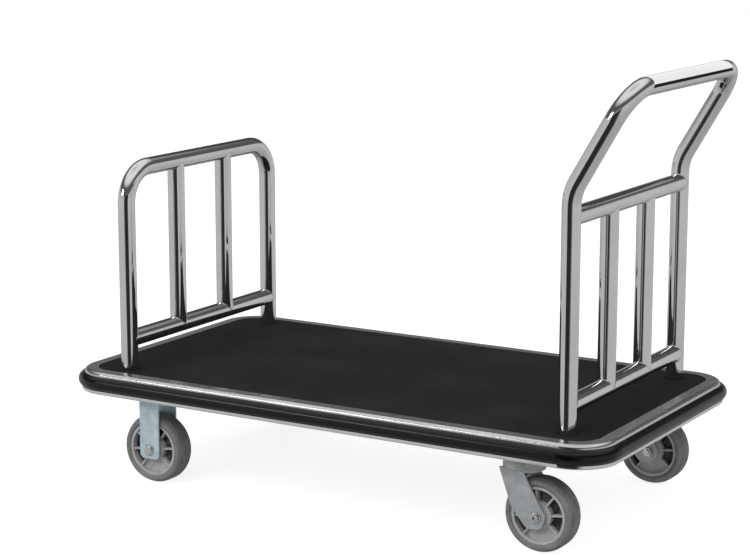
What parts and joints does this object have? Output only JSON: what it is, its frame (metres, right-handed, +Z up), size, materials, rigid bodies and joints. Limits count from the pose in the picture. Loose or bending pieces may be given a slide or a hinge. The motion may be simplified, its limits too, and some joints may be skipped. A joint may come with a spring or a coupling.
{
  "type": "hotel luggage cart",
  "caption": "Hotel platform cart: carpeted deck with a rubber bumper, tubular end rail, leaning push handle, rigid casters at one end and swivel casters at the other.",
  "frame": {"origin": "on the floor, under the middle of the cart's outline", "axes": "+X along the cart from the end rail to the push handle, +Y across the cart to its rear side, +Z up"},
  "size_m": [1.332, 0.72, 0.944],
  "materials": {
    "carpet": "flat needle-punch carpet",
    "plywood": "sealed plywood",
    "polished_steel": "mirror-polished stainless",
    "black_rubber": "glossy extruded rubber",
    "black_frame": "semi-gloss black paint",
    "zinc_steel": "zinc plated pressed steel",
    "fastener": "plated steel",
    "grey_plastic": "moulded plastic",
    "grey_tyre": "non-marking grey rubber"
  },
  "bodies": {
    "cart": {"carpet": "carpet", "deck_board": "plywood", "rim_trim": "polished_steel", "bumper": "black_rubber", "edge_channel": "polished_steel", "edge_screws": "fastener", "deck_bolts": "fastener", "frame_rail_front": "black_frame", "frame_rail_rear": "black_frame", "frame_cross_rigid": "black_frame", "frame_cross_middle": "black_frame", "frame_cross_swivel": "black_frame", "end_rail_hoop": "polished_steel", "end_rail_crossbar": "polished_steel", "end_rail_bar_front": "polished_steel", "end_rail_bar_rear": "polished_steel", "end_rail_plugs": "fastener", "end_rail_bolts": "fastener", "handle_hoop": "polished_steel", "handle_mid_crossbar": "polished_steel", "handle_low_crossbar": "polished_steel", "handle_bar_front": "polished_steel", "handle_bar_rear": "polished_steel", "handle_plugs": "fastener", "handle_bolts": "fastener", "caster_plate_bolts": "fastener", "kingpin_nuts": "fastener", "rigid_front_fork": "zinc_steel", "rigid_front_axle_bolt": "fastener", "rigid_front_axle_nut": "fastener", "rigid_front_axle_sleeve": "fastener", "swivel_front_plate": "zinc_steel", "swivel_front_raceway_cup": "zinc_steel", "swivel_front_balls": "fastener", "swivel_front_kingpin": "fastener", "rigid_rear_fork": "zinc_steel", "rigid_rear_axle_bolt": "fastener", "rigid_rear_axle_nut": "fastener", "rigid_rear_axle_sleeve": "fastener", "swivel_rear_plate": "zinc_steel", "swivel_rear_raceway_cup": "zinc_steel", "swivel_rear_balls": "fastener", "swivel_rear_kingpin": "fastener"},
    "rigid_front_wheel": {"rigid_front_wheel_core": "grey_plastic", "rigid_front_tyre": "grey_tyre"},
    "swivel_front_caster": {"swivel_front_fork": "zinc_steel", "swivel_front_axle_bolt": "fastener", "swivel_front_axle_nut": "fastener", "swivel_front_axle_sleeve": "fastener"},
    "swivel_front_wheel": {"swivel_front_wheel_core": "grey_plastic", "swivel_front_tyre": "grey_tyre"},
    "rigid_rear_wheel": {"rigid_rear_wheel_core": "grey_plastic", "rigid_rear_tyre": "grey_tyre"},
    "swivel_rear_caster": {"swivel_rear_fork": "zinc_steel", "swivel_rear_axle_bolt": "fastener", "swivel_rear_axle_nut": "fastener", "swivel_rear_axle_sleeve": "fastener"},
    "swivel_rear_wheel": {"swivel_rear_wheel_core": "grey_plastic", "swivel_rear_tyre": "grey_tyre"}
  },
  "joints": [
    {"name": "rigid_front_spin", "type": "hinge", "parent": "cart", "child": "rigid_front_wheel", "pos_m": [-0.463, -0.276, 0.076], "axis": [0, 1, 0], "continuous": true},
    {"name": "swivel_front_swivel", "type": "hinge", "parent": "cart", "child": "swivel_front_caster", "pos_m": [0.439, -0.276, 0.17], "axis": [0, 0, 1], "continuous": true},
    {"name": "swivel_front_spin", "type": "hinge", "parent": "swivel_front_caster", "child": "swivel_front_wheel", "pos_m": [0.481, -0.276, 0.076], "axis": [0, 1, 0], "continuous": true},
    {"name": "rigid_rear_spin", "type": "hinge", "parent": "cart", "child": "rigid_rear_wheel", "pos_m": [-0.463, 0.276, 0.076], "axis": [0, 1, 0], "continuous": true},
    {"name": "swivel_rear_swivel", "type": "hinge", "parent": "cart", "child": "swivel_rear_caster", "pos_m": [0.439, 0.276, 0.17], "axis": [0, 0, 1], "continuous": true},
    {"name": "swivel_rear_spin", "type": "hinge", "parent": "swivel_rear_caster", "child": "swivel_rear_wheel", "pos_m": [0.481, 0.276, 0.076], "axis": [0, 1, 0], "continuous": true}
  ]
}
